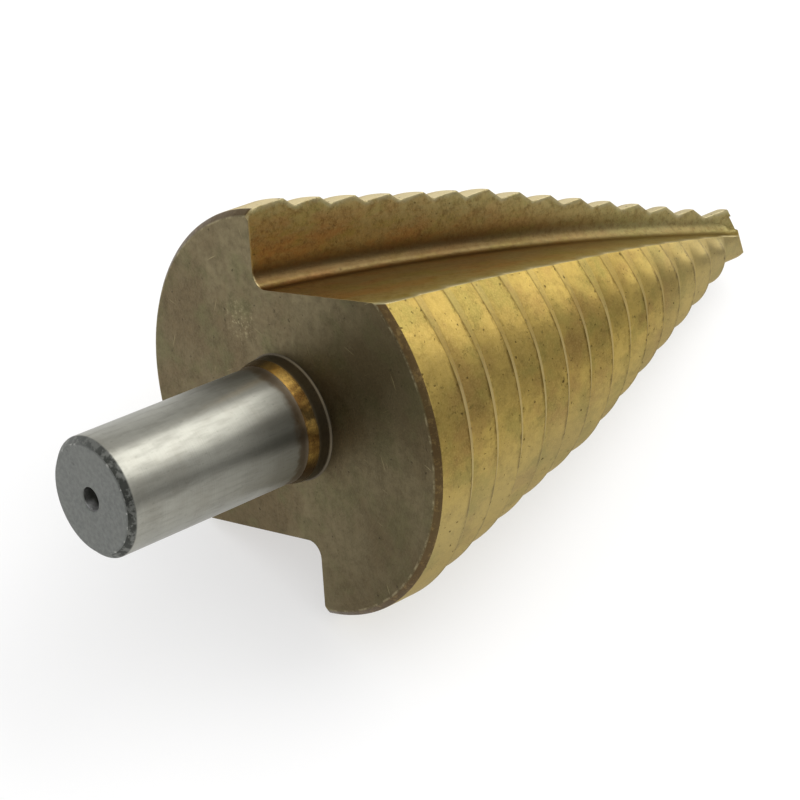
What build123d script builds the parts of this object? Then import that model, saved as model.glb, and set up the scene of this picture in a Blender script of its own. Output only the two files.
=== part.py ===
from build123d import *
from math import cos, hypot, radians, sin, sqrt, tan
import os

# A step drill for sheet metal: a stepped cone with two straight flutes, a ground round
# shank with a centre hole in its end, and a low collar where the shank leaves the cone.
# It is ground from one bar of high speed steel, so it is one solid.
# Lengths in millimetres, angles in degrees.  Worked out along X (shank at -X, point at
# +X, x = 0 on the flat back of the cone) and laid down as it comes to rest at the end.

# the steps
STEP_COUNT = 15
WIDE_DIAMETER = 42.0      # the land next to the back face
FINE_RISE = 2.0           # diameter lost per step on the wide half
COARSE_RISE = 3.0         # diameter lost per step on the narrow half
FINE_STEPS = 6            # how many drops of the fine rise there are
STEP_PITCH = 4.46         # one land and its shoulder along the axis
SHOULDER = 1.55           # length of a shoulder along the axis
LAST_LAND_EXTRA = 1.2     # how much longer the leading land is
BACK_CHAMFER = 0.6        # on the rim of the back face

# the point
POINT_ANGLE = 118.0       # included angle of the two lips
LIP_RELIEF = 12.0         # fall of each flank behind its lip
LIP_WIDTH = 0.4           # width of that first flat, at the axis
BACK_RELIEF = 48.0        # fall of the second flat behind it
HEEL_FALL = 22.0          # its slant down from the lip's side to the heel
GASH_WIDTH = 1.3          # cut that clears the flute's root up to the web at the point
GASH_LENGTH = 4.0
GASH_ANGLE = 27.0         # between the gash and the axis

# the flutes
FLUTE_COUNT = 2
WEB_BACK = 3.55           # cutting face ahead of the axis, at the back face
WEB_TAPER = 3.13          # angle between the cutting face and the axis
ROOT_BACK = 12.6          # height of the flute's root over the axis, at the back face
ROOT_POINT = 0.15         # the same where the point begins
ROOT_BULGE = 1.3          # rise of the root's curve over its straight chord
FLUTE_ANGLE = 79.75       # between the cutting face and the floor
FLOOR_LEAN = 15.8         # lean of the floor's rulings towards the shank
ROOT_RADIUS = 1.5         # fillet between the cutting face and the floor

# the shank
SHANK_DIAMETER = 12.0
SHANK_LENGTH = 24.2       # back face to the end of the shank
SHANK_CHAMFER = 0.65
CENTRE_DIAMETER = 2.35    # centre hole in the shank's end
CENTRE_DEPTH = 3.0        # its parallel part
CENTRE_ANGLE = 118.0      # its drilled bottom
COLLAR_DIAMETER = 12.8
COLLAR_LENGTH = 1.4       # its parallel part
COLLAR_SLOPE = 1.5        # length of the cone from the shank up to the collar
COLLAR_FLARE = 0.2        # where the collar meets the back face

WIDE_RADIUS = WIDE_DIAMETER / 2
SHANK_RADIUS = SHANK_DIAMETER / 2
COLLAR_RADIUS = COLLAR_DIAMETER / 2
CONE_LENGTH = STEP_COUNT * STEP_PITCH + LAST_LAND_EXTRA
CLEAR = WIDE_DIAMETER     # a length that reaches past everything


def land_radius(step):
    """Radius of a land, counted from 0 at the back face."""
    fine = min(step, FINE_STEPS)
    coarse = step - fine
    return WIDE_RADIUS - (fine * FINE_RISE + coarse * COARSE_RISE) / 2


def land_end(step):
    """Where a land ends, along the axis."""
    extra = LAST_LAND_EXTRA if step == STEP_COUNT - 1 else 0.0
    return (step + 1) * STEP_PITCH + extra


TIP_RADIUS = land_radius(STEP_COUNT - 1)
POINT_LENGTH = TIP_RADIUS / tan(radians(POINT_ANGLE / 2))
APEX = CONE_LENGTH + POINT_LENGTH


def turned_profile():
    """Half section of the blank, from the shank's end to the blunt front."""
    centre = CENTRE_DIAMETER / 2
    hole_end = -SHANK_LENGTH + CENTRE_DEPTH
    hole_point = hole_end + centre / tan(radians(CENTRE_ANGLE / 2))
    points = [
        (hole_point, 0),
        (hole_end, centre),
        (-SHANK_LENGTH, centre),
        (-SHANK_LENGTH, SHANK_RADIUS - SHANK_CHAMFER),
        (-SHANK_LENGTH + SHANK_CHAMFER, SHANK_RADIUS),
        (-COLLAR_LENGTH - COLLAR_SLOPE, SHANK_RADIUS),
        (-COLLAR_LENGTH, COLLAR_RADIUS),
        (-COLLAR_FLARE, COLLAR_RADIUS),
        (0, COLLAR_RADIUS + COLLAR_FLARE),
        (0, WIDE_RADIUS - BACK_CHAMFER),
        (BACK_CHAMFER, WIDE_RADIUS),
    ]
    for step in range(STEP_COUNT - 1):
        points.append((land_end(step), land_radius(step)))
        points.append((land_end(step) + SHOULDER, land_radius(step + 1)))
    points.append((APEX, TIP_RADIUS))
    points.append((APEX, 0))
    return points


def root_height(x):
    """Height of the flute's root over the axis, on the cutting face."""
    chord = ROOT_BACK + (ROOT_POINT - ROOT_BACK) * x / CONE_LENGTH
    return chord + 4 * ROOT_BULGE * x * (CONE_LENGTH - x) / CONE_LENGTH**2


def face_offset(x):
    """Distance of the cutting face from the axis."""
    return WEB_BACK - x * tan(radians(WEB_TAPER))


# direction of the straight lines that make up the flute's floor
RULING = Vector(
    -sin(radians(FLOOR_LEAN)),
    -cos(radians(FLOOR_LEAN)) * sin(radians(FLUTE_ANGLE)),
    cos(radians(FLOOR_LEAN)) * cos(radians(FLUTE_ANGLE)),
)


def flute_cutter():
    """What the wheel takes out: a flat cutting face, a long curved root and the floor."""
    lean = radians(WEB_TAPER)
    face = Plane(
        origin=(0, WEB_BACK, 0),
        x_dir=(cos(lean), -sin(lean), 0),
        z_dir=(-sin(lean), -cos(lean), 0),
    )
    start = -STEP_PITCH
    middle = CONE_LENGTH / 2
    end = APEX + STEP_PITCH
    slant = 1 / cos(lean)
    a = (start * slant, root_height(start))
    b = (middle * slant, root_height(middle))
    c = (end * slant, root_height(end))
    with BuildSketch(face) as side:
        with BuildLine():
            ThreePointArc(a, b, c)
            Polyline(c, (c[0], CLEAR), (a[0], CLEAR), a)
        make_face()
    cutter = extrude(side.sketch, amount=CLEAR, dir=RULING)
    root = cutter.edges().filter_by(GeomType.CIRCLE).sort_by(Axis.Y)[-1]
    return fillet(root, ROOT_RADIUS)


def flank_cutter(behind, slant, relief):
    """The stock over one flat of a flank: where it starts, its slope along and behind the lip."""
    along = Vector(tan(radians(slant)), 0, 1)
    away = Vector(-tan(radians(relief)), 1, 0)
    start = (APEX - behind * tan(radians(LIP_RELIEF)), behind, 0)
    flat = Plane(origin=start, x_dir=along, z_dir=away.cross(along))
    return extrude(flat * Rectangle(CLEAR, CLEAR), amount=CLEAR)


def gash_cutter():
    """A short slot down the cutting face, so that the lip runs in to the thin web."""
    rise = GASH_LENGTH * tan(radians(GASH_ANGLE))
    face = Plane(origin=(0, face_offset(APEX), 0), x_dir=(1, 0, 0), z_dir=(0, -1, 0))
    slope = [(APEX, 0), (APEX - GASH_LENGTH, rise), (APEX, rise)]
    side = face * make_face(Polyline(*slope, close=True))
    return extrude(side, amount=GASH_WIDTH) + extrude(side, amount=-GASH_WIDTH / 4)


def ring_of(tool):
    """The same tool once for each flute, spaced evenly round the axis."""
    turns = [360 / FLUTE_COUNT * i for i in range(FLUTE_COUNT)]
    return [Rot(X=turn) * tool for turn in turns]


def corner(step):
    """Where the cutting edge of the upright flute leaves a land."""
    x = land_end(step)
    y = face_offset(x)
    return Vector(x, y, sqrt(land_radius(step) ** 2 - y**2))


def heel(step):
    """Where the floor of the upright flute leaves the same land."""
    x = land_end(step)
    near = 0.0
    far = CLEAR
    for _ in range(60):
        reach = (near + far) / 2
        foot = x - RULING.X * reach
        place = Vector(foot, face_offset(foot), root_height(foot)) + RULING * reach
        if hypot(place.Y, place.Z) < land_radius(step):
            near = reach
        else:
            far = reach
    return place


blank = revolve(make_face(Polyline(*turned_profile(), close=True)), Axis.X)
drill = blank - ring_of(flute_cutter())
drill = drill - ring_of(flank_cutter(0, POINT_ANGLE / 2 - 90, LIP_RELIEF))
drill = drill - ring_of(flank_cutter(LIP_WIDTH, HEEL_FALL, BACK_RELIEF))
drill = drill - ring_of(gash_cutter())

# The drill lies on the flute below it: on the heel at the ends of the first two lands and
# on the cutting edge where the fine steps stop.  The floor passes through those corners.
REST_HEELS = (0, 1)
REST_CORNER = FINE_STEPS


def below(place):
    """The same corner on the flute on the under side."""
    return Vector(place.X, -place.Y, -place.Z)


first, second = [below(heel(step)) for step in REST_HEELS]
third = below(corner(REST_CORNER))
up = (second - first).cross(third - first).normalized()
up = up * (1 if up.Z > 0 else -1)
axis = Vector(1, 0, 0)
floor = Plane(origin=first, x_dir=axis - up * axis.dot(up), z_dir=up)
drill = floor.location.inverse() * drill

box = drill.bounding_box()
drill = Pos(-box.center().X, -box.center().Y, 0) * drill

os.makedirs("parts", exist_ok=True)
export_step(drill, "parts/step_drill.step")
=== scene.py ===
from math import acos, atan2, cos, hypot, pi, radians, sin, tan

import bmesh
import bpy
from mathutils import Matrix, Vector


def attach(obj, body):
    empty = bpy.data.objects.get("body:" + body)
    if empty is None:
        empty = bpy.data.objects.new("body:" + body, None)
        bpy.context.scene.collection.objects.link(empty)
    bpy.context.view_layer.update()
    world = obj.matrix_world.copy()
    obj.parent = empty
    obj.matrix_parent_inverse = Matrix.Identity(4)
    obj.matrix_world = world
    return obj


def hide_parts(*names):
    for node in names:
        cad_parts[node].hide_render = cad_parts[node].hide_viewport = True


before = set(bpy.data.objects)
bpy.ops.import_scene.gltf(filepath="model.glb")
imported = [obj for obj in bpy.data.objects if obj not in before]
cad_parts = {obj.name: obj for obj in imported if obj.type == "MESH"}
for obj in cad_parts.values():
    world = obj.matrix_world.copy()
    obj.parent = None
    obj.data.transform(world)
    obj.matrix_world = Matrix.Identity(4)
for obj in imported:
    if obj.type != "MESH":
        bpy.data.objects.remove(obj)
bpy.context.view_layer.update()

# ---- the faced end of the shank -----------------------------------------------------
# The drill is one solid, ground from a bar of high speed steel, and every section adds to
# its one skin, from the shank to the point.  First comes the end of the bar: sawn, faced
# and left matt grey, with a small drilled centre hole that carried it between centres.
SHANK_RADIUS = 6.0
SHANK_LENGTH = 24.2
SHANK_CHAMFER = 0.65
CHAMFER_ROUND = 0.1        # wear of the chamfer's two corners
CENTRE_RADIUS = 1.175
CENTRE_DEPTH = 3.0
CENTRE_POINT = 0.7         # depth of the drill's own point under it
CENTRE_ROUND = 0.16        # wear of the hole's mouth
FACE_RINGS = (0.4, 0.7)    # shares of the radius where the flat end is divided
SIDES = 160                # facets round a turned part
FACED_END = 0              # each finish has its number in the order of the sections

MATT_GREY = "70726f"
GRAIN_GREY = "828480"
CLOUD_GREY = "858681"
PIT_BLACK = "2b2b29"
RUBBED_RIM = "555753"
CHIPPED_RIM = "c0c0ba"
HOLE_GREY = "8d8d88"
HOLE_PAINTED_GLINT = "ffffff"

# Sizes are in millimetres along the drill's own axis: X runs from the shank to the point,
# and x = 0 is the flat back of the cone.  This is how that axis lies when it is at rest.
PER_METRE = 1000.0
DRILL_ALONG = Vector((0.97967757, 0.0, -0.20057881))
DRILL_ASIDE = Vector((-0.06717185, 0.94225721, -0.32808427))
DRILL_UPRIGHT = Vector((0.18899683, 0.33489005, 0.92310826))
DRILL_PLACE = Vector((-21.85033, 0.0, 19.39921)) / PER_METRE
laid_down = Matrix((DRILL_ALONG, DRILL_ASIDE, DRILL_UPRIGHT)).transposed().to_4x4()
laid_down.translation = DRILL_PLACE

skin = bmesh.new()
finishes = []


def join(before, after, finish_index):
    """One band of faces between two closed rings, in one finish or one for each face."""
    if len(before) == 1:
        before = before * len(after)
    if len(after) == 1:
        after = after * len(before)
    for i in range(len(before)):
        k = (i + 1) % len(before)
        corners = [before[i], before[k], after[k], after[i]]
        corners = [c for n, c in enumerate(corners) if c not in corners[:n]]
        face = skin.faces.new(corners)
        face.material_index = finish_index if isinstance(finish_index, int) else finish_index[i]


def lathe(profile, finish_index):
    """Turned faces between the rings of a half section, and the rings."""
    turns = [2 * pi * i / SIDES for i in range(SIDES)]
    rings = []
    for x, r in profile:
        if r == 0:
            rings.append([skin.verts.new((x, 0, 0))])
        else:
            rings.append([skin.verts.new((x, r * cos(a), r * sin(a))) for a in turns])
    for before, after in zip(rings, rings[1:]):
        join(before, after, finish_index)
    return rings


def rounded(before, corner, after, reach, steps=3):
    """Points round a corner of a profile, from and to the same distance from it."""
    corner = Vector(corner)
    start = corner + (Vector(before) - corner).normalized() * reach
    end = corner + (Vector(after) - corner).normalized() * reach
    points = []
    for i in range(steps + 1):
        s = i / steps
        points.append(tuple(start * (1 - s) ** 2 + corner * 2 * s * (1 - s) + end * s * s))
    return points


shank_end = -SHANK_LENGTH
mouth = (shank_end, CENTRE_RADIUS)
face_rim = (shank_end, SHANK_RADIUS - SHANK_CHAMFER)
chamfer_rim = (shank_end + SHANK_CHAMFER, SHANK_RADIUS)
profile = [
    (shank_end + CENTRE_DEPTH + CENTRE_POINT, 0),
    (shank_end + CENTRE_DEPTH, CENTRE_RADIUS),
    (shank_end + CENTRE_DEPTH / 2, CENTRE_RADIUS),
]
profile += rounded((0, CENTRE_RADIUS), mouth, face_rim, CENTRE_ROUND)
profile += [(shank_end, SHANK_RADIUS * share) for share in FACE_RINGS]
profile += rounded(mouth, face_rim, chamfer_rim, CHAMFER_ROUND)
end_rings = lathe(profile, FACED_END)


def finish(name):
    """An empty metal finish in the next slot of the skin: its tree and its surface."""
    made = bpy.data.materials.new(name)
    made.use_nodes = True
    finishes.append(made)
    surface = made.node_tree.nodes["Principled BSDF"]
    surface.inputs["Metallic"].default_value = 1.0
    return made.node_tree, surface


def plug(tree, made, place, value):
    """A value or another node's output, put in a socket of a node."""
    if isinstance(value, bpy.types.NodeSocket):
        tree.links.new(value, made.inputs[place])
    elif value is not None:
        made.inputs[place].default_value = value


def node(tree, kind, *sockets, **choices):
    """One shader node, with what goes in its sockets, in order."""
    made = tree.nodes.new("ShaderNode" + kind)
    for choice, value in choices.items():
        setattr(made, choice, value)
    for place, value in enumerate(sockets):
        plug(tree, made, place, value)
    return made


def sums(tree, operation, *values, clamp=False):
    """The result of a Math node."""
    return node(tree, "Math", *values, operation=operation, use_clamp=clamp).outputs[0]


def both(tree, *masks):
    """Where all of the masks hold."""
    held = masks[0]
    for mask in masks[1:]:
        held = sums(tree, "MULTIPLY", held, mask)
    return held


def between(tree, value, low, high, to_low=0.0, to_high=1.0):
    """A value eased from one range to another."""
    made = node(tree, "MapRange", value, low, high, to_low, to_high,
                interpolation_type="SMOOTHSTEP")
    return made.outputs[0]


def stretched(tree, place, scale, shift=(0, 0, 0)):
    """Coordinates stretched along each axis, and moved."""
    made = node(tree, "VectorMath", place, scale, shift, operation="MULTIPLY_ADD")
    return made.outputs[0]


def paint(code):
    """A colour written as six hexadecimal digits, as the shader wants it."""
    parts = [int(code[i:i + 2], 16) / 255 for i in (0, 2, 4)]
    return [((p + 0.055) / 1.055) ** 2.4 if p > 0.04045 else p / 12.92 for p in parts] + [1]


def tint(tree, amount, under, over):
    """One colour over another, as far as the amount says."""
    made = node(tree, "Mix", amount, data_type="RGBA")
    for place, colour in ((6, under), (7, over)):
        plug(tree, made, place, paint(colour) if isinstance(colour, str) else colour)
    return made.outputs[2]


def lay(tree, under, over, share, *masks):
    """One colour over another, at a share of its strength where all of the masks hold."""
    return tint(tree, sums(tree, "MULTIPLY", both(tree, *masks), share), under, over)


def relief(tree, surface, strength, depth, height):
    """Relief too fine for the mesh, from a height and its depth in millimetres."""
    bump = node(tree, "Bump", strength, depth / PER_METRE, None, height)
    plug(tree, surface, "Normal", bump.outputs[0])


def effect(name, takes, gives):
    """An empty node group, and what it is given: each label has a number, or None for a vector."""
    group = bpy.data.node_groups.new(name, "ShaderNodeTree")
    for way, labels in (("INPUT", takes), ("OUTPUT", gives)):
        for label, value in labels.items():
            kind = "NodeSocketVector" if value is None else "NodeSocketFloat"
            socket = group.interface.new_socket(label, in_out=way, socket_type=kind)
            if value is not None:
                socket.default_value = value
    return group, group.nodes.new("NodeGroupInput").outputs


def give(group, *values):
    """What a node group puts out, in order."""
    out = group.nodes.new("NodeGroupOutput")
    for place, value in enumerate(values):
        plug(group, out, place, value)


def use(tree, group, **values):
    """A node group placed in a material: its outputs, or its only one."""
    made = tree.nodes.new("ShaderNodeGroup")
    made.node_tree = group
    for label, value in values.items():
        plug(tree, made, label, value)
    return made.outputs if len(made.outputs) > 1 else made.outputs[0]


# where a point is on the drill: in millimetres, and as far along, off and round its axis
place_on_drill, given = effect(
    "place_on_drill", {"Coordinates": None},
    {"Millimetres": None, "Along": 0.0, "Aside": 0.0, "Aloft": 0.0, "Radius": 0.0, "Turned": None})
tree = place_on_drill
place = node(tree, "Mapping", given["Coordinates"], DRILL_PLACE, laid_down.to_euler(),
             (1 / PER_METRE,) * 3, vector_type="TEXTURE").outputs[0]
along, aside, aloft = node(tree, "SeparateXYZ", place).outputs
squares = [sums(tree, "MULTIPLY", value, value) for value in (aside, aloft)]
radius = sums(tree, "SQRT", sums(tree, "ADD", *squares))
angle = sums(tree, "ARCTAN2", aloft, aside)
turned = node(tree, "CombineXYZ", along, radius, angle).outputs[0]
give(tree, place, along, aside, aloft, radius, turned)


def on_drill(tree, *labels):
    """Where the surface is on the drill, by the labels that are asked for."""
    coordinates = node(tree, "TexCoord").outputs["Object"]
    found = use(tree, place_on_drill, Coordinates=coordinates)
    return [found[label] for label in labels]


# soft patches of stain
mottling, given = effect(
    "mottling",
    {"Place": None, "Scale": 0.2, "Low": 0.4, "High": 0.6, "Detail": 5.0, "Rough": 0.6},
    {"Mask": 0.0})
tree = mottling
cloud = node(tree, "TexNoise", given["Place"], None, given["Scale"], given["Detail"],
             given["Rough"]).outputs[0]
give(tree, between(tree, cloud, given["Low"], given["High"]))

# small ragged pits and specks of rust, in a share of the cells
pitting, given = effect(
    "pitting", {"Place": None, "Scale": 1.0, "Size": 0.2, "Share": 0.2}, {"Mask": 0.0})
tree = pitting
bend = node(tree, "TexNoise", given["Place"], None, 2.2, 2.0, 0.6).outputs[1]
bent = stretched(tree, bend, (0.6, 0.6, 0.6), given["Place"])
cells = node(tree, "TexVoronoi", bent, None, given["Scale"]).outputs
chance, variety, _ = node(tree, "SeparateColor", cells["Color"]).outputs
held = sums(tree, "LESS_THAN", chance, given["Share"])
reach = sums(tree, "MULTIPLY", given["Size"], sums(tree, "ADD", variety, 0.3))
near = sums(tree, "SUBTRACT", 1.0, sums(tree, "DIVIDE", cells["Distance"], reach), clamp=True)
give(tree, both(tree, held, between(tree, near, 0.0, 0.7)))

tree, surface = finish("faced_end_steel")
mm, along, aloft, radius = on_drill(tree, "Millimetres", "Along", "Aloft", "Radius")
grain = use(tree, mottling, Place=mm, Scale=2.2, Low=0.35, High=0.65, Detail=6.0, Rough=0.75)
cloud = use(tree, mottling, Place=mm, Scale=0.3, Low=0.35, High=0.7)
pits = use(tree, pitting, Place=mm, Scale=0.8, Size=0.28, Share=0.3)
colour = tint(tree, grain, MATT_GREY, GRAIN_GREY)
colour = lay(tree, colour, CLOUD_GREY, 0.35, cloud)
colour = lay(tree, colour, PIT_BLACK, 0.5, pits)

# the corner to the chamfer is rubbed and chipped
by_rim = between(tree, radius, face_rim[1] - 0.2, face_rim[1] + 0.07)
chips = use(tree, pitting, Place=mm, Scale=1.5, Size=0.5, Share=0.5)
colour = lay(tree, colour, RUBBED_RIM, 0.3, by_rim)
colour = lay(tree, colour, CHIPPED_RIM, 0.75, by_rim, chips)

# the hole is drilled bright, with a painted glint on the low side of its mouth
past_mouth = between(tree, along, shank_end + 0.06, shank_end + 0.2)
within = between(tree, radius, CENTRE_RADIUS + 0.125, CENTRE_RADIUS + 0.325, 1.0, 0.0)
in_hole = both(tree, past_mouth, within)
colour = tint(tree, in_hole, colour, HOLE_GREY)
glint_low_side = between(tree, aloft, -0.9, -0.4, 1.0, 0.0)
glint_near_mouth = between(tree, along, shank_end + 0.9, shank_end + 1.3, 1.0, 0.0)
colour = tint(tree, both(tree, in_hole, glint_low_side, glint_near_mouth), colour, HOLE_PAINTED_GLINT)
plug(tree, surface, "Base Color", colour)
plug(tree, surface, "Roughness", between(tree, in_hole, 0.0, 1.0, 0.55, 0.4))
relief(tree, surface, 0.5, 0.02, grain)

# ---- the shank ----------------------------------------------------------------------
# The round shank goes in the chuck.  It is ground bright between centres, so fine lines
# run round it, with a chamfer that is dull and chipped where it has been knocked.
COLLAR_RADIUS = 6.4
COLLAR_LENGTH = 1.4        # straight wall of the collar, up to the back of the cone
COLLAR_CONE = 1.5          # length of the small cone from the shank up to that wall
NECK_ROUND = 0.25          # where that cone leaves the shank
SHANK_BANDS = 12
GROUND_SHANK = 1
GRINDING = 0.75            # how far the ground lines draw out a reflection

GROUND_GREY = "8a8980"
GROUND_BRIGHT = "afaea3"
STREAK_AND_REFLECTION_GREY = "77756c"
STALE_GREY = "7f7b6f"
FLECK_GREY = "615e56"
SHANK_PIT = "3c352c"
CHAMFER_DULL = "3b3d3a"
CHAMFER_RUBBED_AND_SHEEN = "7f817d"
CHAMFER_CHIPS = "9a9b95"
SHANK_PAINTED_SHADE = "46463d"
NECK_BROWN = "5f4c33"

neck = (-COLLAR_LENGTH - COLLAR_CONE, SHANK_RADIUS)
collar_top = (-COLLAR_LENGTH, COLLAR_RADIUS)
profile = rounded(face_rim, chamfer_rim, (0, SHANK_RADIUS), CHAMFER_ROUND)
reach = SHANK_LENGTH + neck[0] - 2 * SHANK_CHAMFER
for i in range(SHANK_BANDS):
    profile.append((shank_end + 2 * SHANK_CHAMFER + reach * i / SHANK_BANDS, SHANK_RADIUS))
profile += rounded((shank_end, SHANK_RADIUS), neck, collar_top, NECK_ROUND)
shank_rings = lathe(profile, GROUND_SHANK)
join(end_rings[-1], shank_rings[0], GROUND_SHANK)

# fine lines left by the wheel or the turning tool
tool_lines, given = effect(
    "tool_lines", {"Position": 0.0, "Place": None, "Spacing": 0.2, "Waver": 0.02},
    {"Height": 0.0})
tree = tool_lines
drift = node(tree, "TexNoise", given["Place"], None, 0.15, 2.0, 0.5).outputs[0]
shifted = sums(tree, "MULTIPLY_ADD", drift, given["Waver"], given["Position"])
count = sums(tree, "DIVIDE", shifted, given["Spacing"])
fade = node(tree, "TexNoise", given["Place"], None, 0.5, 3.0, 0.6).outputs[0]
lines = node(tree, "TexNoise", None, count, 1.0, 3.0, 0.7, noise_dimensions="1D").outputs[0]
give(tree, both(tree, lines, sums(tree, "ADD", fade, 0.35)))


def ground_round(tree, surface):
    """Lines ground round the axis draw the reflections out along it."""
    axis = node(tree, "CombineXYZ", *DRILL_ALONG).outputs[0]
    plug(tree, surface, "Tangent", axis)
    plug(tree, surface, "Anisotropic", GRINDING)


def off(tree, value, middle):
    """How far a value is from a middle one, either way."""
    return sums(tree, "ABSOLUTE", sums(tree, "SUBTRACT", value, middle))


tree, surface = finish("ground_steel")
mm, along, aside, aloft, turned = on_drill(
    tree, "Millimetres", "Along", "Aside", "Aloft", "Turned")
rings_cut = use(tree, tool_lines, Position=along, Place=turned, Spacing=0.07, Waver=0.3)
long_way = stretched(tree, turned, (0.25, 1, 9))
streak = use(tree, mottling, Place=long_way, Scale=1.0, Low=0.42, High=0.75)
cloud = use(tree, mottling, Place=mm, Scale=0.22, Low=0.45, High=0.7)
short_way = stretched(tree, turned, (1.5, 1, 22))
flecks = use(tree, mottling, Place=short_way, Scale=1.0, Low=0.55, High=0.72, Detail=4.0,
             Rough=0.7)
pits = use(tree, pitting, Place=mm, Scale=0.6, Size=0.1, Share=0.25)
colour = tint(tree, rings_cut, GROUND_GREY, GROUND_BRIGHT)
# dark lengthwise streaks: partly uneven grinding, which also varies the roughness, and partly
# painted reflection bands
colour = lay(tree, colour, STREAK_AND_REFLECTION_GREY, 0.4, streak)
colour = lay(tree, colour, STALE_GREY, 0.3, cloud)
colour = lay(tree, colour, FLECK_GREY, 0.3, flecks)
colour = lay(tree, colour, SHANK_PIT, 0.7, pits)

# the chamfer is dull and chipped all round, and lighter on one side, partly rubbed and partly a
# painted reflection
chamfered = between(tree, along, chamfer_rim[0] - 0.1, chamfer_rim[0] + 0.1, 1.0, 0.0)
ragged = use(tree, mottling, Place=mm, Scale=1.3, Low=0.45, High=0.62, Detail=3.0, Rough=0.7)
rubbed_and_lit_side = between(tree, aside, -3.5, 0.5)
colour = lay(tree, colour, CHAMFER_DULL, 0.92, chamfered)
colour = lay(tree, colour, CHAMFER_RUBBED_AND_SHEEN, 0.6, chamfered, rubbed_and_lit_side)
colour = lay(tree, colour, CHAMFER_CHIPS, 0.45, chamfered, ragged)

# painted shade darkens one band along the top towards the cone, and the whole far side
shade_band_height = between(tree, off(tree, aloft, 1.9), 0.5, 2.2, 1.0, 0.0)
painted_shade = both(tree, shade_band_height, between(tree, along, -13.0, -5.0, 0.0, 0.6))
colour = tint(tree, painted_shade, colour, SHANK_PAINTED_SHADE)
shaded_far_side = between(tree, aside, -1.5, 1.0)
painted_shade = both(tree, shaded_far_side, between(tree, along, -15.0, -5.0, 0.0, 0.6))
colour = tint(tree, painted_shade, colour, SHANK_PAINTED_SHADE)

# the coating begins in a ragged brown edge at the neck
wander = use(tree, mottling, Place=mm, Scale=0.5, Low=0.3, High=0.7)
edge = sums(tree, "MULTIPLY_ADD", wander, 0.7, along)
at_neck = between(tree, edge, neck[0] - 1.0, neck[0] - 0.1, 0.0, 0.75)
colour = tint(tree, at_neck, colour, NECK_BROWN)
plug(tree, surface, "Base Color", colour)
rough = sums(tree, "MULTIPLY_ADD", streak, 0.08, 0.36)
plug(tree, surface, "Roughness", sums(tree, "MULTIPLY_ADD", chamfered, 0.2, rough))
height = sums(tree, "MULTIPLY_ADD", both(tree, chamfered, ragged), 4.0, rings_cut)
relief(tree, surface, 0.5, 0.01, sums(tree, "MULTIPLY_ADD", pits, -2.0, height))
ground_round(tree, surface)

# ---- the collar ---------------------------------------------------------------------
# A low collar is turned where the shank leaves the cone.  The gold coating runs out on
# its small cone in brown streaks, with painted shade in a band, low down and on the far
# side, and its wall is dull.
COLLAR_FLARE = 0.2         # where the collar meets the back face
COLLAR_ROUND = 0.2
FLARE_ROUND = 0.12
GILT_COLLAR = 2

COLLAR_GILT = "b8954f"
COLLAR_BROWN = "6a4d26"
COLLAR_SHADE_BAND = "2e2517"
COLLAR_SHADE_LOW = "4a3820"
COLLAR_SHADE_FAR = "4a3d27"
COLLAR_STAIN = "6d4f26"
COLLAR_RUN_OUT = "5b4325"
WALL_DULL = "544c3d"
FLARE_GREY = "7d7565"

wall_end = (-COLLAR_FLARE, COLLAR_RADIUS)
flare_end = (0, COLLAR_RADIUS + COLLAR_FLARE)
profile = rounded(neck, collar_top, wall_end, COLLAR_ROUND)
profile += rounded(collar_top, wall_end, flare_end, FLARE_ROUND)
profile += [flare_end]
collar_rings = lathe(profile, GILT_COLLAR)
join(shank_rings[-1], collar_rings[0], GILT_COLLAR)

tree, surface = finish("gilt_collar")
mm, along, aside, aloft, turned = on_drill(
    tree, "Millimetres", "Along", "Aside", "Aloft", "Turned")
long_way = stretched(tree, mm, (0.15, 1, 1), (4, 1, 0))
streak = use(tree, mottling, Place=long_way, Scale=0.5, Low=0.4, High=0.62, Detail=3.0)
colour = tint(tree, streak, COLLAR_GILT, COLLAR_BROWN)
# painted shade: a dark band at one height, and darker low down and on the far side
wander = use(tree, mottling, Place=mm, Scale=0.6, Low=0.3, High=0.7)
wander = sums(tree, "MULTIPLY_ADD", wander, 1.2, aloft)
collar_shade_band = between(tree, off(tree, wander, 2.9), 0.5, 1.5, 0.9, 0.0)
colour = tint(tree, collar_shade_band, colour, COLLAR_SHADE_BAND)
colour = tint(tree, between(tree, wander, -2.5, 0.6, 0.85, 0.0), colour, COLLAR_SHADE_LOW)
colour = tint(tree, between(tree, aside, -1.5, 1.0, 0.0, 0.8), colour, COLLAR_SHADE_FAR)
stain = use(tree, mottling, Place=mm, Scale=0.9, Low=0.45, High=0.65)
colour = lay(tree, colour, COLLAR_STAIN, 0.4, stain)
by_shank = between(tree, along, neck[0], neck[0] + 0.4, 0.9, 0.0)
colour = tint(tree, by_shank, colour, COLLAR_RUN_OUT)
wall = between(tree, along, -COLLAR_LENGTH - 0.25, -COLLAR_LENGTH)
colour = lay(tree, colour, WALL_DULL, 0.95, wall)
flare = between(tree, along, -COLLAR_FLARE - 0.1, -COLLAR_FLARE + 0.08)
colour = lay(tree, colour, FLARE_GREY, 0.25, flare)
plug(tree, surface, "Base Color", colour)
plug(tree, surface, "Roughness", between(tree, wall, 0.0, 1.0, 0.27, 0.45))
lines = use(tree, tool_lines, Position=along, Place=turned, Spacing=0.12, Waver=0.3)
relief(tree, surface, 0.4, 0.02, lines)

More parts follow.
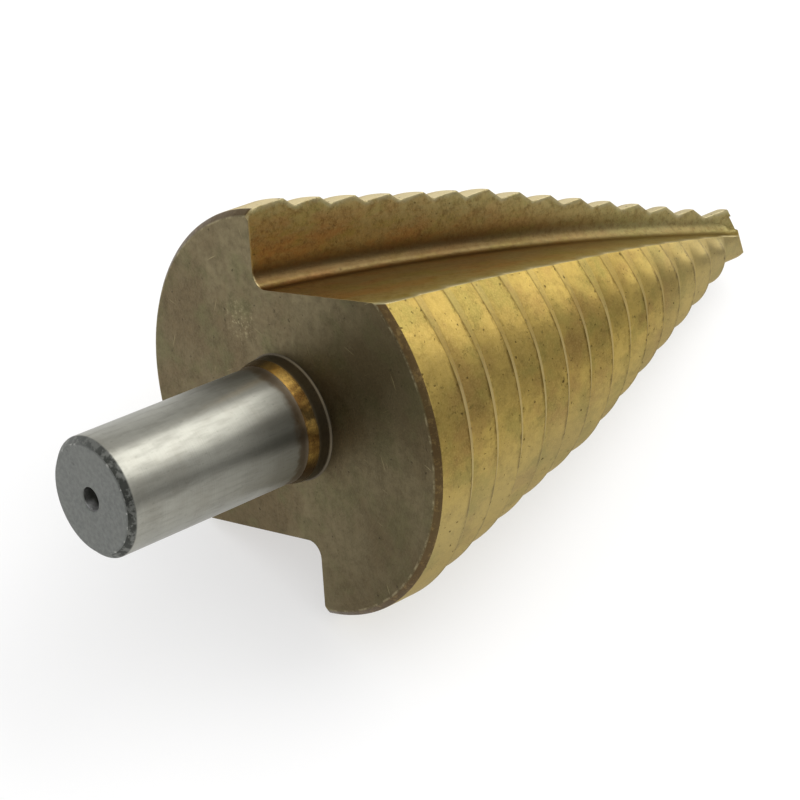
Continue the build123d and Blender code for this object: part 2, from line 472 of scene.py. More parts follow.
# ---- the stepped cone ---------------------------------------------------------------
# Fifteen lands are turned and ground with sloping shoulders between them, in fine steps
# on the wide half and coarse ones on the narrow half.  The lands keep their gold coating,
# worn and stained, with dark specks along each step.
WIDE_RADIUS = 21.0         # the land next to the back face
FINE_RISE = 1.0            # radius lost per step on the wide half
COARSE_RISE = 1.5          # radius lost per step on the narrow half
FINE_STEPS = 6
STEP_COUNT = 15
STEP_PITCH = 4.46
SHOULDER_SLOPE = radians(40)
LAST_LAND_EXTRA = 1.2      # how much longer the leading land is
BACK_CHAMFER = 0.6
RIM_ROUND = 0.12           # wear of that chamfer's two corners
CREST_ROUND = 0.1
ROOT_ROUND = 0.22
LAND_BANDS = 3
TIP_BANDS = 6
TIP_RADIUS = 3.0
POINT_HALF = radians(59)
BLANK_EXTRA = 0.5          # how far the blank goes on past the point that is ground on it
CONE_LENGTH = STEP_COUNT * STEP_PITCH + LAST_LAND_EXTRA
APEX = CONE_LENGTH + TIP_RADIUS / tan(POINT_HALF)

GOLD = "b09750"
DARK_GOLD = "9d8545"
GOLD_OLIVE = "7e7a3e"
GOLD_BROWN = "84623a"
GOLD_BLOTCH = "6f5c2d"
GOLD_GRAIN = "c8ad68"
GOLD_DIRT = "5d5128"
GOLD_LINES = "c8b070"
STEP_SMEAR = "4f3c1c"
CREST_BROWN = "5a4720"
LOW_SIDE_PAINTED_SHEEN = "a39c7c"
SHOULDER_WORN_SHEEN = "cdbf90"
EDGE_WORN_SHEEN = "f0e6c4"
FORWARD_PALE = "a9a183"
GOLD_PIT = "41331a"
GOLD_SPECK = "4b3b1b"
GOLD_GLINT = (0.85, 0.76, 0.56, 1)


def land_radius(step):
    """Radius of a land, counted from 0 at the back face."""
    fine = min(step, FINE_STEPS)
    return WIDE_RADIUS - fine * FINE_RISE - (step - fine) * COARSE_RISE


def foot_of(step):
    """Where the shoulder in front of a land ends: along the axis, and its radius."""
    high, low = land_radius(step), land_radius(step + 1)
    return (step + 1) * STEP_PITCH + (high - low) / tan(SHOULDER_SLOPE), low


# the half section of the blank, with every corner a little rounded by wear
back_rim = (0, WIDE_RADIUS - BACK_CHAMFER)
first_rim = (BACK_CHAMFER, WIDE_RADIUS)
cone_profile = rounded((0, 0), back_rim, first_rim, RIM_ROUND, steps=2)
cone_profile += rounded(back_rim, first_rim, (STEP_PITCH, WIDE_RADIUS), RIM_ROUND, steps=2)
for step in range(STEP_COUNT - 1):
    high, low = land_radius(step), land_radius(step + 1)
    x = (step + 1) * STEP_PITCH
    start = cone_profile[-1][0]
    reach = x - CREST_ROUND - start
    cone_profile += [(start + reach * i / LAND_BANDS, high) for i in range(1, LAND_BANDS)]
    cone_profile += rounded((0, high), (x, high), foot_of(step), CREST_ROUND, steps=2)
    cone_profile += rounded((x, high), foot_of(step), (APEX, low), ROOT_ROUND, steps=2)
start = cone_profile[-1][0]
reach = APEX + BLANK_EXTRA - start
cone_profile += [(start + reach * i / TIP_BANDS, TIP_RADIUS) for i in range(1, TIP_BANDS + 1)]

# how deep a point lies under the lands, and the marks that go with the steps
step_marks, given = effect(
    "step_marks", {"Along": 0.0, "Radius": 0.0},
    {"Depth": 0.0, "Crest": 0.0, "Behind": 0.0, "Shoulder": 0.0})
tree = step_marks
count = sums(tree, "FLOOR", sums(tree, "DIVIDE", given["Along"], STEP_PITCH))
count = sums(tree, "MINIMUM", sums(tree, "MAXIMUM", count, 0.0), STEP_COUNT - 1.0)
past = sums(tree, "MULTIPLY_ADD", count, -STEP_PITCH, given["Along"])
left = sums(tree, "SUBTRACT", STEP_PITCH, past)
fine = sums(tree, "MINIMUM", count, float(FINE_STEPS))
land = sums(tree, "MULTIPLY_ADD", fine, COARSE_RISE - FINE_RISE, WIDE_RADIUS)
land = sums(tree, "MULTIPLY_ADD", count, -COARSE_RISE, land)
coarse = sums(tree, "GREATER_THAN", count, float(FINE_STEPS))
rise = sums(tree, "ADD", FINE_RISE, sums(tree, "MULTIPLY", coarse, COARSE_RISE - FINE_RISE))
rise = sums(tree, "MULTIPLY", rise, sums(tree, "GREATER_THAN", count, 0.5))
slope_down = sums(tree, "MULTIPLY_ADD", past, -tan(SHOULDER_SLOPE), rise)
outside = sums(tree, "ADD", land, sums(tree, "MAXIMUM", slope_down, 0.0))
on_steps = both(tree, sums(tree, "GREATER_THAN", given["Along"], STEP_PITCH / 2),
                sums(tree, "LESS_THAN", given["Along"], (STEP_COUNT - 0.5) * STEP_PITCH))
crest = between(tree, sums(tree, "MINIMUM", past, left), 0.05, 0.2, 1.0, 0.0)
behind = between(tree, left, 0.1, 0.5, 1.0, 0.0)
shoulder = between(tree, slope_down, -0.05, 0.1)
depth = sums(tree, "SUBTRACT", outside, given["Radius"])
give(tree, depth, *[both(tree, mark, on_steps) for mark in (crest, behind, shoulder)])

tree, surface = finish("gold_coating")
mm, along, aloft, radius, turned = on_drill(
    tree, "Millimetres", "Along", "Aloft", "Radius", "Turned")
marks = use(tree, step_marks, Along=along, Radius=radius)
large = use(tree, mottling, Place=mm, Scale=0.09, Low=0.4, High=0.6)
olive = use(tree, mottling, Place=mm, Scale=0.2, Low=0.48, High=0.64)
elsewhere = stretched(tree, mm, (1, 1, 1), (31, 7, 3))
brown = use(tree, mottling, Place=elsewhere, Scale=0.17, Low=0.5, High=0.66)
blotch = use(tree, mottling, Place=mm, Scale=0.9, Low=0.42, High=0.7, Detail=6.0, Rough=0.75)
grain = use(tree, mottling, Place=mm, Scale=5.0, Low=0.4, High=0.75, Detail=3.0, Rough=0.6)
colour = tint(tree, large, GOLD, DARK_GOLD)
colour = lay(tree, colour, GOLD_OLIVE, 0.5, olive)
colour = lay(tree, colour, GOLD_BROWN, 0.55, brown)
colour = lay(tree, colour, GOLD_BLOTCH, 0.5, blotch)
colour = lay(tree, colour, GOLD_GRAIN, 0.3, grain)

# dirt has settled in patches half way up the side
up_share = sums(tree, "DIVIDE", aloft, radius)
mid_height = between(tree, off(tree, up_share, 0.25), 0.2, 0.45, 1.0, 0.25)
dirt = use(tree, mottling, Place=mm, Scale=1.7, Low=0.54, High=0.68, Detail=6.0, Rough=0.75)
elsewhere = stretched(tree, mm, (1, 1, 1), (2, 5, 7))
patches = use(tree, mottling, Place=elsewhere, Scale=0.3, Low=0.42, High=0.6)
colour = lay(tree, colour, GOLD_DIRT, 0.8, dirt, mid_height, patches)

# the wheel's lines, and a smear behind each crest
lines = use(tree, tool_lines, Position=along, Place=turned, Spacing=0.13, Waver=0.25)
colour = lay(tree, colour, GOLD_LINES, 0.2, lines)
round_step = stretched(tree, turned, (1, 0, 8.4))
smeared = use(tree, mottling, Place=round_step, Scale=1.1, Low=0.42, High=0.62, Detail=4.0,
              Rough=0.7)
colour = lay(tree, colour, STEP_SMEAR, 0.7, marks["Behind"], smeared)
colour = lay(tree, colour, CREST_BROWN, 0.45, marks["Crest"])

# painted reflection makes it paler low down; the shoulders and the land by the cutting
# edges are worn paler and carry a painted sheen too; it is rubbed paler towards the point
colour = tint(tree, between(tree, aloft, -9.0, 2.0, 0.4, 0.0), colour, LOW_SIDE_PAINTED_SHEEN)
worn_sheen = both(tree, marks["Shoulder"], between(tree, up_share, 0.24, 0.5, 0.5, 0.08),
             between(tree, along, 20.0, 50.0, 1.0, 0.4))
colour = tint(tree, worn_sheen, colour, SHOULDER_WORN_SHEEN)
by_edge_sheen = between(tree, sums(tree, "ABSOLUTE", up_share), 0.9, 0.98, 0.0, 0.75)
colour = tint(tree, by_edge_sheen, colour, EDGE_WORN_SHEEN)
colour = tint(tree, between(tree, along, 35.0, 66.0, 0.0, 0.4), colour, FORWARD_PALE)

# pits and specks gather behind the crests
near_steps = between(tree, marks["Behind"], 0.0, 1.0, 0.25, 0.9)
cloud = use(tree, mottling, Place=mm, Scale=0.25, Low=0.42, High=0.6)
share = both(tree, near_steps, sums(tree, "ADD", cloud, 0.45))
pits = use(tree, pitting, Place=mm, Scale=1.2, Size=0.24, Share=share)
specks = use(tree, pitting, Place=mm, Scale=2.4, Size=0.3, Share=share)
colour = lay(tree, colour, GOLD_PIT, 0.85, pits)
colour = lay(tree, colour, GOLD_SPECK, 0.7, specks)
plug(tree, surface, "Base Color", colour)
plug(tree, surface, "Specular Tint", GOLD_GLINT)
plug(tree, surface, "Roughness", sums(tree, "MULTIPLY_ADD", olive, 0.06, 0.42))
height = sums(tree, "MULTIPLY_ADD", blotch, 0.5, lines)
relief(tree, surface, 0.6, 0.02, sums(tree, "MULTIPLY_ADD", pits, -1.5, height))
ground_round(tree, surface)

# ---- the flutes ---------------------------------------------------------------------
# Each flute is ground by one wheel: a flat cutting face, a rounded root and a floor that
# runs out to the heel.  They cut the lands into teeth, so the skin of both is made here.
# Heat has browned them, and the steel shows where chips rub it.
WEB_BACK = 3.55            # cutting face ahead of the axis, at the back face
WEB_TAPER = radians(3.13)
ROOT_BACK = 12.6           # height of the flute's root over the axis, at the back face
ROOT_POINT = 0.15          # the same where the point begins
ROOT_BULGE = 1.3           # rise of the root's curve over its straight chord
ROOT_RADIUS = 1.5
FLUTE_ANGLE = radians(79.75)
FLOOR_LEAN = radians(15.8)
EDGE_ROUND = 0.06          # wear of the cutting edge
BACK_EDGE_ROUND = 0.3      # and of its end at the back face
HEEL_ROUND = 0.12
HEEL_WEAR = 0.8            # share of each step that is worn away at the heel
WORN_TURN = 0.5            # how far round the land that wear reaches
LAND_ROWS = 96             # facets round one land, and across each part of its flute
FACE_ROWS = 10
FILLET_ROWS = 8
FLOOR_ROWS = 12
RIM_BANDS = 4              # the bands over the rim's chamfer, which keep the back's finish
GOLD_LAND, BROWNED_FLUTE, STAINED_BACK = 3, 4, 5

FLUTE_OLIVE = "93835b"
FLUTE_RUDDY = "97754d"
FLUTE_GREEN = "8a8248"
FLUTE_FORWARD = "a09868"
TEETH_GREEN = "a29b68"
FLUTE_BLOTCH = "5c4526"
FLUTE_GRAIN = "b89f68"
ROOT_PAINTED_SHADE = "46351f"
HEEL_GREY = "9a9474"
EDGE_RUBBED = "aaa07c"
EDGE_BARE = "b9ad88"
BACK_EDGE_BARE = "b3a67d"
FLUTE_SPECK = "33240f"
FLUTE_GLINT = (0.62, 0.5, 0.34, 1)

# direction of the straight lines that make up a flute's floor
RULING = Vector((-sin(FLOOR_LEAN),
                 -cos(FLOOR_LEAN) * sin(FLUTE_ANGLE),
                 cos(FLOOR_LEAN) * cos(FLUTE_ANGLE)))


def face_offset(x):
    """Distance of the cutting face from the axis."""
    return WEB_BACK - x * tan(WEB_TAPER)


def root_height(x):
    """Height of the flute's root over the axis, level once the cone has ended."""
    x = min(x, CONE_LENGTH)
    chord = ROOT_BACK + (ROOT_POINT - ROOT_BACK) * x / CONE_LENGTH
    return chord + 4 * ROOT_BULGE * x * (CONE_LENGTH - x) / CONE_LENGTH ** 2


def floor_point(x, reach):
    """The flute's floor where a ruling of that reach crosses the section at x."""
    foot = x - RULING.x * reach
    place = Vector((foot, face_offset(foot), root_height(foot))) + RULING * reach
    return place.y, place.z


def heel_reach(x, r):
    """How far the floor runs before it leaves the cone."""
    near, far = 0.0, 2 * WIDE_RADIUS
    for _ in range(50):
        reach = (near + far) / 2
        if hypot(*floor_point(x, reach)) < r:
            near = reach
        else:
            far = reach
    return near


def heel_radius(x, r):
    """Radius at the heel, where the crests are worn down towards the feet of the steps."""
    for step in range(STEP_COUNT - 1):
        (x0, r0), (x1, r1) = foot_of(step - 1), foot_of(step)
        if x0 < x < x1:
            return r - HEEL_WEAR * max(0.0, r - r0 - (x - x0) / (x1 - x0) * (r1 - r0))
    return r


def fillet_points(x):
    """The rounded root between the cutting face and the floor, in the section at x."""
    step = 0.01
    rise = root_height(x + step) - root_height(x)
    along = Vector((step, face_offset(x + step) - face_offset(x), rise)).normalized()
    out_of_face = Vector((-sin(WEB_TAPER), -cos(WEB_TAPER), 0))
    out_of_floor = along.cross(RULING).normalized()
    if out_of_floor.z < 0:
        out_of_floor = -out_of_floor
    root = Vector((x, face_offset(x), root_height(x)))
    lift = ROOT_RADIUS / (1 + out_of_face.dot(out_of_floor))
    centre = root + (out_of_face + out_of_floor) * lift
    opening = out_of_face.angle(out_of_floor)
    points = []
    for i in range(FILLET_ROWS + 1):
        a = opening * i / FILLET_ROWS
        towards = (-out_of_face * sin(opening - a) - out_of_floor * sin(a)) / sin(opening)
        place = centre + towards * ROOT_RADIUS
        place += along * ((x - place.x) / along.x)
        points.append((place.y, place.z))
    return points


def half_section(x, r):
    """Half of a section through the cone: a land, its cutting face and the floor after it."""
    low = heel_radius(x, r)
    reach = heel_reach(x, low)
    heel = floor_point(x, reach)
    worn = EDGE_ROUND + BACK_EDGE_ROUND * max(0.0, 1 - x / BACK_CHAMFER)
    edge_y = face_offset(x)
    edge_turn = acos(edge_y / r)
    first = atan2(heel[1], heel[0]) - pi + HEEL_ROUND / r
    last = edge_turn - worn / r
    points = []
    for i in range(LAND_ROWS + 1):
        a = first + (last - first) * i / LAND_ROWS
        share = max(0.0, 1 - (a - first) / WORN_TURN)
        level = r + (low - r) * share * share * (3 - 2 * share)
        points.append((level * cos(a), level * sin(a)))
    fillet = fillet_points(x)
    edge_z = r * sin(edge_turn) - worn
    for i in range(FACE_ROWS):
        points.append((edge_y, edge_z + (fillet[0][1] - edge_z) * i / FACE_ROWS))
    points += fillet
    start = ROOT_RADIUS / tan(FLUTE_ANGLE / 2)
    for i in range(1, FLOOR_ROWS + 1):
        points.append(floor_point(x, start + (reach - HEEL_ROUND - start) * i / FLOOR_ROWS))
    return points


rings = []
for x, r in cone_profile:
    half = half_section(x, r)
    rings.append([skin.verts.new((x, s * y, s * z)) for s in (1, -1) for y, z in half])
in_flute = [BROWNED_FLUTE] * (len(half) - LAND_ROWS)
for i, (before, after) in enumerate(zip(rings, rings[1:])):
    on_land = [STAINED_BACK if i < RIM_BANDS else GOLD_LAND] * LAND_ROWS
    join(before, after, (on_land + in_flute) * 2)

tree, surface = finish("browned_flute")
mm, along, aside, aloft, radius = on_drill(
    tree, "Millimetres", "Along", "Aside", "Aloft", "Radius")
depth = use(tree, step_marks, Along=along, Radius=radius)["Depth"]
long_way = stretched(tree, mm, (0.35, 1, 1))
ruddy = use(tree, mottling, Place=long_way, Scale=0.3, Low=0.42, High=0.6, Detail=5.0, Rough=0.7)
elsewhere = stretched(tree, mm, (0.35, 1, 1), (9, 4, 2))
green = use(tree, mottling, Place=elsewhere, Scale=0.4, Low=0.48, High=0.66, Detail=5.0,
            Rough=0.7)
blotch = use(tree, mottling, Place=mm, Scale=1.2, Low=0.4, High=0.68, Detail=6.0, Rough=0.78)
grain = use(tree, mottling, Place=mm, Scale=4.0, Low=0.4, High=0.7, Detail=4.0, Rough=0.7)
colour = tint(tree, ruddy, FLUTE_OLIVE, FLUTE_RUDDY)
colour = lay(tree, colour, FLUTE_GREEN, 0.7, green)
colour = lay(tree, colour, FLUTE_FORWARD, 0.6, between(tree, along, 15.0, 60.0))
colour = tint(tree, between(tree, depth, 0.3, 3.5, 0.45, 0.0), colour, TEETH_GREEN)
colour = lay(tree, colour, FLUTE_BLOTCH, 0.6, blotch)
colour = lay(tree, colour, FLUTE_GRAIN, 0.32, grain)

# painted shade darkens both sides of the root's fillet, which narrows its highlight to a line, and
# less towards the point
upper = sums(tree, "SIGN", aloft)
face_at = sums(tree, "MULTIPLY_ADD", along, -tan(WEB_TAPER), WEB_BACK)
chord_at = sums(tree, "MULTIPLY_ADD", along, (ROOT_POINT - ROOT_BACK) / CONE_LENGTH, ROOT_BACK)
curve = both(tree, along, sums(tree, "SUBTRACT", CONE_LENGTH, along))
root_at = sums(tree, "MULTIPLY_ADD", curve, 4 * ROOT_BULGE / CONE_LENGTH ** 2, chord_at)
off_face = sums(tree, "SUBTRACT", both(tree, aside, upper), face_at)
off_root = sums(tree, "SUBTRACT", both(tree, aloft, upper), root_at)
squares = [sums(tree, "MULTIPLY", value, value) for value in (off_face, off_root)]
from_root = sums(tree, "SQRT", sums(tree, "ADD", *squares))
root_shade = both(tree, between(tree, from_root, 1.3, 3.4, 0.75, 0.0),
             between(tree, off(tree, off_root, 0.4), 0.05, 0.35, 0.7, 1.15),
             between(tree, along, 25.0, 62.0, 1.0, 0.25))
colour = tint(tree, root_shade, colour, ROOT_PAINTED_SHADE)

# the steel shows along the heel, the cutting edge and the edge at the back
by_heel = both(tree, between(tree, off_face, -4.0, -2.0, 1.0, 0.0),
               between(tree, depth, 0.3, 1.3, 0.8, 0.0))
colour = tint(tree, by_heel, colour, HEEL_GREY)
worn = use(tree, mottling, Place=mm, Scale=0.8, Low=0.3, High=0.6)
rubbed = both(tree, between(tree, depth, 0.2, 0.7, 0.5, 0.0), worn)
colour = tint(tree, rubbed, colour, EDGE_RUBBED)
edge = between(tree, depth, 0.08, 0.3, 1.0, 0.0)
colour = lay(tree, colour, EDGE_BARE, 0.6, edge, sums(tree, "ADD", worn, 0.2))
back_edge = both(tree, between(tree, along, 0.05, 0.25, 0.75, 0.0), worn)
colour = tint(tree, back_edge, colour, BACK_EDGE_BARE)
specks = use(tree, pitting, Place=mm, Scale=1.5, Size=0.2, Share=0.3)
colour = lay(tree, colour, FLUTE_SPECK, 0.6, specks)
plug(tree, surface, "Base Color", colour)
plug(tree, surface, "Specular Tint", FLUTE_GLINT)
plug(tree, surface, "Roughness", 0.37)
relief(tree, surface, 0.6, 0.02, sums(tree, "MULTIPLY_ADD", specks, -1.0, blotch))

# ---- the back of the cone -----------------------------------------------------------
# The flat back is turned and left bare.  It is stained olive brown, with a few scratches,
# one scuffed place and a darker chamfer whose inner edge is nicked bright.
SCRATCH_TURNS = (0.35, 1.2, 2.05, 2.8)    # directions across the axis, in radians
SCUFF_PLACE = (0, 6.0, 8.7)

BACK_BROWN = "7c7053"
BACK_DARK = "695a3f"
BACK_OLIVE = "64633f"
BACK_BLOTCH = "453a27"
BACK_GRAIN = "8d8264"
BACK_SHADED = "443a24"
TURNING_GREY = "a09678"
SCRATCH_BARE = "a99c74"
SCUFF_BARE = "b0a47f"
BACK_SPECK = "2e2519"
RIM_BROWN = "574329"
RIM_PATCH = "8b7448"
RIM_NICKS = "b3a783"


def ring_edges(ring):
    """The edges round a closed ring."""
    return [skin.edges.get((ring[i - 1], ring[i])) for i in range(len(ring))]


filled = bmesh.ops.triangle_fill(skin, use_beauty=True, normal=(-1, 0, 0),
                                 edges=ring_edges(rings[0]) + ring_edges(collar_rings[-1]))
for item in filled["geom"]:
    if isinstance(item, bmesh.types.BMFace):
        item.material_index = STAINED_BACK

# fine straight scratches in four directions across the axis
scratching, given = effect(
    "scratching", {"Place": None, "Across": 5.0, "Lengthwise": 0.2, "Level": 0.7}, {"Mask": 0.0})
tree = scratching
total = None
for seed, turn in enumerate(SCRATCH_TURNS):
    rolled = node(tree, "VectorRotate", given["Place"], (0, 0, 0), (1, 0, 0), turn,
                  rotation_type="AXIS_ANGLE").outputs[0]
    squeeze = node(tree, "CombineXYZ", 0.3 + seed, given["Across"], given["Lengthwise"]).outputs[0]
    drawn = node(tree, "VectorMath", rolled, squeeze, operation="MULTIPLY").outputs[0]
    wave = node(tree, "TexNoise", drawn, None, 1.0, 1.0, 0.4).outputs[0]
    part = between(tree, sums(tree, "SUBTRACT", wave, given["Level"]), 0.0, 0.035)
    total = part if total is None else sums(tree, "MAXIMUM", total, part)
give(tree, total)

tree, surface = finish("stained_back")
mm, aside, radius, turned = on_drill(tree, "Millimetres", "Aside", "Radius", "Turned")
large = use(tree, mottling, Place=mm, Scale=0.09, Low=0.38, High=0.6)
elsewhere = stretched(tree, mm, (1, 1, 1), (5, 2, 9))
olive = use(tree, mottling, Place=elsewhere, Scale=0.2, Low=0.46, High=0.66)
blotch = use(tree, mottling, Place=mm, Scale=0.8, Low=0.35, High=0.7, Detail=6.0, Rough=0.78)
grain = use(tree, mottling, Place=mm, Scale=3.5, Low=0.35, High=0.7, Detail=4.0, Rough=0.7)
colour = tint(tree, large, BACK_BROWN, BACK_DARK)
colour = lay(tree, colour, BACK_OLIVE, 0.6, olive)
colour = lay(tree, colour, BACK_BLOTCH, 0.4, blotch)
colour = lay(tree, colour, BACK_GRAIN, 0.16, grain)
# painted shade: darker towards one side, where the shank's shadow and reflection fall
colour = tint(tree, between(tree, aside, -14.0, 2.0, 0.45, 0.0), colour, BACK_SHADED)

# turning marks, scratches and the scuffed place
turning = use(tree, tool_lines, Position=radius, Place=turned, Spacing=0.16, Waver=0.3)
colour = lay(tree, colour, TURNING_GREY, 0.12, turning)
scratch = use(tree, scratching, Place=mm, Across=4.0, Lengthwise=0.25, Level=0.77)
colour = lay(tree, colour, SCRATCH_BARE, 0.5, scratch)
from_scuff = node(tree, "VectorMath", mm, SCUFF_PLACE, operation="DISTANCE").outputs["Value"]
rubbed = between(tree, from_scuff, 0.8, 3.4, 1.0, 0.0)
scuffs = use(tree, mottling, Place=mm, Scale=2.2, Low=0.5, High=0.66, Detail=6.0, Rough=0.8)
colour = lay(tree, colour, SCUFF_BARE, 0.7, rubbed, scuffs)
specks = use(tree, pitting, Place=mm, Scale=1.0, Size=0.16, Share=0.3)
colour = lay(tree, colour, BACK_SPECK, 0.6, specks)

# the chamfer round the rim, and the nicks in its inner edge
rim = between(tree, radius, back_rim[1], back_rim[1] + 0.12)
colour = lay(tree, colour, RIM_BROWN, 0.7, rim)
patches = use(tree, mottling, Place=mm, Scale=1.0, Low=0.5, High=0.66, Detail=5.0, Rough=0.75)
colour = lay(tree, colour, RIM_PATCH, 0.5, rim, patches)
nicked = use(tree, mottling, Place=mm, Scale=0.9, Low=0.45, High=0.62, Detail=4.0, Rough=0.7)
inner_edge = between(tree, off(tree, radius, back_rim[1] - 0.05), 0.02, 0.16, 1.0, 0.0)
colour = lay(tree, colour, RIM_NICKS, 0.4, inner_edge, nicked)
plug(tree, surface, "Base Color", colour)
plug(tree, surface, "Roughness", sums(tree, "MULTIPLY_ADD", blotch, 0.12, 0.4))
relief(tree, surface, 0.5, 0.02, sums(tree, "MULTIPLY_ADD", turning, 0.5, blotch))

# ---- the point ----------------------------------------------------------------------
# Two flats are ground on each side to give the lips of the point, and a short gash down
# each cutting face lets the lips run in to the thin web between the flutes.
LIP_RELIEF = radians(12)
LIP_WIDTH = 0.4            # width of the first flat, at the axis
BACK_RELIEF = radians(48)
HEEL_FALL = radians(22)
GASH_WIDTH = 1.3
GASH_DEPTH = 0.325         # how far the gash bites into the cutting face
GASH_LENGTH = 4.0
GASH_SLOPE = tan(radians(27))
GASH_EXTRA = 0.5           # the wheel runs on past the point

skin.faces.new(rings[-1])
bmesh.ops.recalc_face_normals(skin, faces=skin.faces[:])
drill = bpy.data.objects.new("drill_body", bpy.data.meshes.new("ground_blank"))
skin.to_mesh(drill.data)
skin.free()
for made in finishes:
    drill.data.materials.append(made)
bpy.context.scene.collection.objects.link(drill)


def grind(near_end, far_end, finish_index):
    """What a wheel takes off, between two loops of corners, on each side of the point."""
    for side in (1, -1):
        form = bmesh.new()
        near, far = [[form.verts.new((x, y * side, z * side)) for x, y, z in end]
                     for end in (near_end, far_end)]
        form.faces.new(near)
        form.faces.new(far)
        for i in range(len(near)):
            k = (i + 1) % len(near)
            form.faces.new((near[i], near[k], far[k], far[i]))
        for face in form.faces:
            face.material_index = finish_index
        bmesh.ops.recalc_face_normals(form, faces=form.faces[:])
        wheel = bpy.data.objects.new("wheel", bpy.data.meshes.new("wheel"))
        form.to_mesh(wheel.data)
        form.free()
        for made in finishes:
            wheel.data.materials.append(made)
        bpy.context.scene.collection.objects.link(wheel)
        taken = drill.modifiers.new("taken", "BOOLEAN")
        taken.operation = "DIFFERENCE"
        taken.solver = "EXACT"
        taken.object = wheel
        bpy.context.view_layer.update()
        shown = drill.evaluated_get(bpy.context.evaluated_depsgraph_get())
        drill.data = bpy.data.meshes.new_from_object(shown)
        drill.modifiers.remove(taken)
        bpy.data.objects.remove(wheel)


# each flat: how far behind the lip it starts, its slant along the lip and its relief
for back, slant, relief_angle in ((0, POINT_HALF - pi / 2, LIP_RELIEF),
                                  (LIP_WIDTH, HEEL_FALL, BACK_RELIEF)):
    start = Vector((APEX - back * tan(LIP_RELIEF), back, 0))
    out = Vector((1, tan(relief_angle), -tan(slant))).normalized()
    level = Vector((0, 1, 0)).cross(out).normalized() * WIDE_RADIUS
    steep = out.cross(level)
    flat = [start + level * a + steep * b for a, b in ((-1, -1), (1, -1), (1, 1), (-1, 1))]
    grind(flat, [corner + out * WIDE_RADIUS for corner in flat], GOLD_LAND)

gash = (
    (APEX + GASH_EXTRA, -GASH_EXTRA * GASH_SLOPE),
    (APEX - GASH_LENGTH, GASH_LENGTH * GASH_SLOPE),
    (APEX + GASH_EXTRA, GASH_LENGTH * GASH_SLOPE),
)
sides = (face_offset(APEX) - GASH_WIDTH, face_offset(APEX) + GASH_DEPTH)
grind(*[[(x, y, z) for x, z in gash] for y in sides], BROWNED_FLUTE)

# ---- the drill as it lies -----------------------------------------------------------
# The finished drill is laid down as it comes to rest: its axis dips towards the point, and
# it bears on two corners of the heel and one of the cutting edge of the flute below it.
CREASE = radians(62)       # sharper corners than this stay sharp in the shading
mesh = drill.data
mesh.name = "drill_body"
mesh.transform(laid_down @ Matrix.Scale(1 / PER_METRE, 4))
mesh.polygons.foreach_set("use_smooth", [True] * len(mesh.polygons))
mesh.set_sharp_from_angle(angle=CREASE)
even = drill.modifiers.new("even_shading", "WEIGHTED_NORMAL")
even.keep_sharp = True
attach(drill, "root")
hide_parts("step_drill")

# ---- the bench and the light --------------------------------------------------------
# The drill lies on a matt white bench top, under one wide softbox to the right and a small
# one in front, in a soft white room that is brighter overhead and towards the far right.
BENCH_HALF = 2.0
BENCH_PAINT = (0.42, 0.42, 0.42, 1)
BENCH_WHITE = 0.56         # what makes the paint up to white, as it is seen or mirrored
WHITE = (1, 1, 1, 1)
ROOM_LOW = 0.26            # how bright the room is at the level of the bench
ROOM_HIGH = 1.05           # and overhead
BACKDROP = 0.9             # and how much brighter it is low down at the far right
FAR_RIGHT = (0.7, 0.71, 0)

corners = [(x * BENCH_HALF, y * BENCH_HALF, 0) for x, y in ((-1, -1), (1, -1), (1, 1), (-1, 1))]
mesh = bpy.data.meshes.new("bench_top")
mesh.from_pydata(corners, [], [(0, 1, 2, 3)])
bench = bpy.data.objects.new("bench_top", mesh)
bpy.context.scene.collection.objects.link(bench)
made = bpy.data.materials.new("bench_white")
made.use_nodes = True
mesh.materials.append(made)
tree = made.node_tree
surface = tree.nodes["Principled BSDF"]
plug(tree, surface, "Base Color", BENCH_PAINT)
plug(tree, surface, "Roughness", 0.8)
plug(tree, surface, "Specular IOR Level", 0.0)
path = node(tree, "LightPath").outputs
seen = sums(tree, "MAXIMUM", path["Is Camera Ray"], path["Is Glossy Ray"])
seen = sums(tree, "MAXIMUM", seen, path["Is Transmission Ray"])
glow = node(tree, "Emission", WHITE, sums(tree, "MULTIPLY", seen, BENCH_WHITE))
lit = node(tree, "AddShader", surface.outputs[0], glow.outputs[0])
plug(tree, tree.nodes["Material Output"], "Surface", lit.outputs[0])

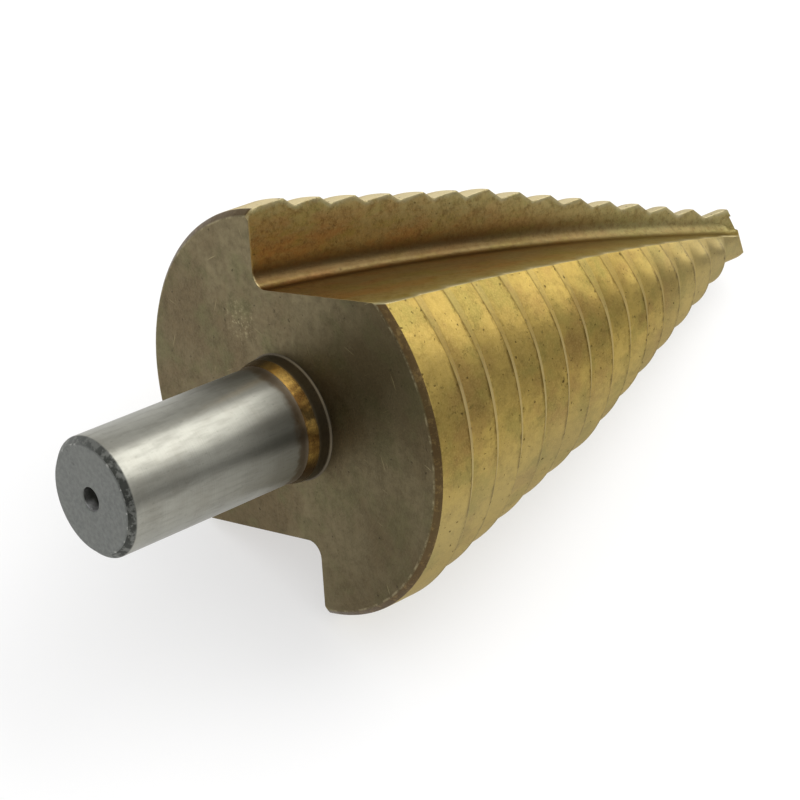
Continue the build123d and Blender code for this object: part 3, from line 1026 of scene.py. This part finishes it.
world = bpy.data.worlds.new("studio")
bpy.context.scene.world = world
world.use_nodes = True
tree = world.node_tree
direction = node(tree, "TexCoord").outputs["Generated"]
height = node(tree, "SeparateXYZ", direction).outputs[2]
overhead = between(tree, height, 0.0, 0.9, ROOM_LOW, ROOM_HIGH)
away = node(tree, "VectorMath", direction, FAR_RIGHT, operation="DOT_PRODUCT").outputs["Value"]
low_down = between(tree, height, 0.1, 0.5, BACKDROP, 0.0)
backdrop = both(tree, between(tree, away, 0.3, 0.9), low_down)
room = tree.nodes["Background"]
plug(tree, room, "Color", WHITE)
plug(tree, room, "Strength", sums(tree, "ADD", overhead, backdrop))


def softbox(name, towards, distance, size, strength):
    """A lamp in a direction from the drill, with the brightness of its own face."""
    lamp = bpy.data.lights.new(name, "AREA")
    lamp.shape = "RECTANGLE"
    lamp.size, lamp.size_y = size
    lamp.energy = strength * size[0] * size[1] * pi
    holder = bpy.data.objects.new(name, lamp)
    bpy.context.scene.collection.objects.link(holder)
    holder.location = Vector(towards).normalized() * distance
    holder.rotation_euler = (-Vector(towards)).to_track_quat("-Z", "Y").to_euler()


softbox("softbox_main", towards=(0.66, -0.1, 0.75), distance=0.75, size=(0.64, 0.66), strength=2.6)
softbox("softbox_side", towards=(0.2, -0.9, 0.55), distance=0.9, size=(0.4, 0.3), strength=0.9)

# ---- the camera ---------------------------------------------------------------------
# It stands to the front left of the drill and looks down on the end of the shank, through
# a long lens, with everything sharp.
CAMERA_PLACE = Vector((-129.26542, -125.99076, 187.35384)) / PER_METRE
CAMERA_LOOK = Vector((0.49396524, 0.50708261, -0.70630416))
CAMERA_UP = Vector((0.458496, 0.53829623, 0.70711992))
CAMERA_RIGHT = Vector((0.73876908, -0.6731303, 0.03340428))
LENS = 108.04
SENSOR = 36.0
NEAREST = 0.01
camera = bpy.data.objects.new("camera", bpy.data.cameras.new("camera"))
bpy.context.scene.collection.objects.link(camera)
turn = Matrix((CAMERA_RIGHT, CAMERA_UP, -CAMERA_LOOK)).transposed().to_4x4()
turn.translation = CAMERA_PLACE
camera.matrix_world = turn
camera.data.lens = LENS
camera.data.sensor_width = SENSOR
camera.data.clip_start = NEAREST
bpy.context.scene.camera = camera
bpy.context.scene.view_settings.view_transform = "Standard"
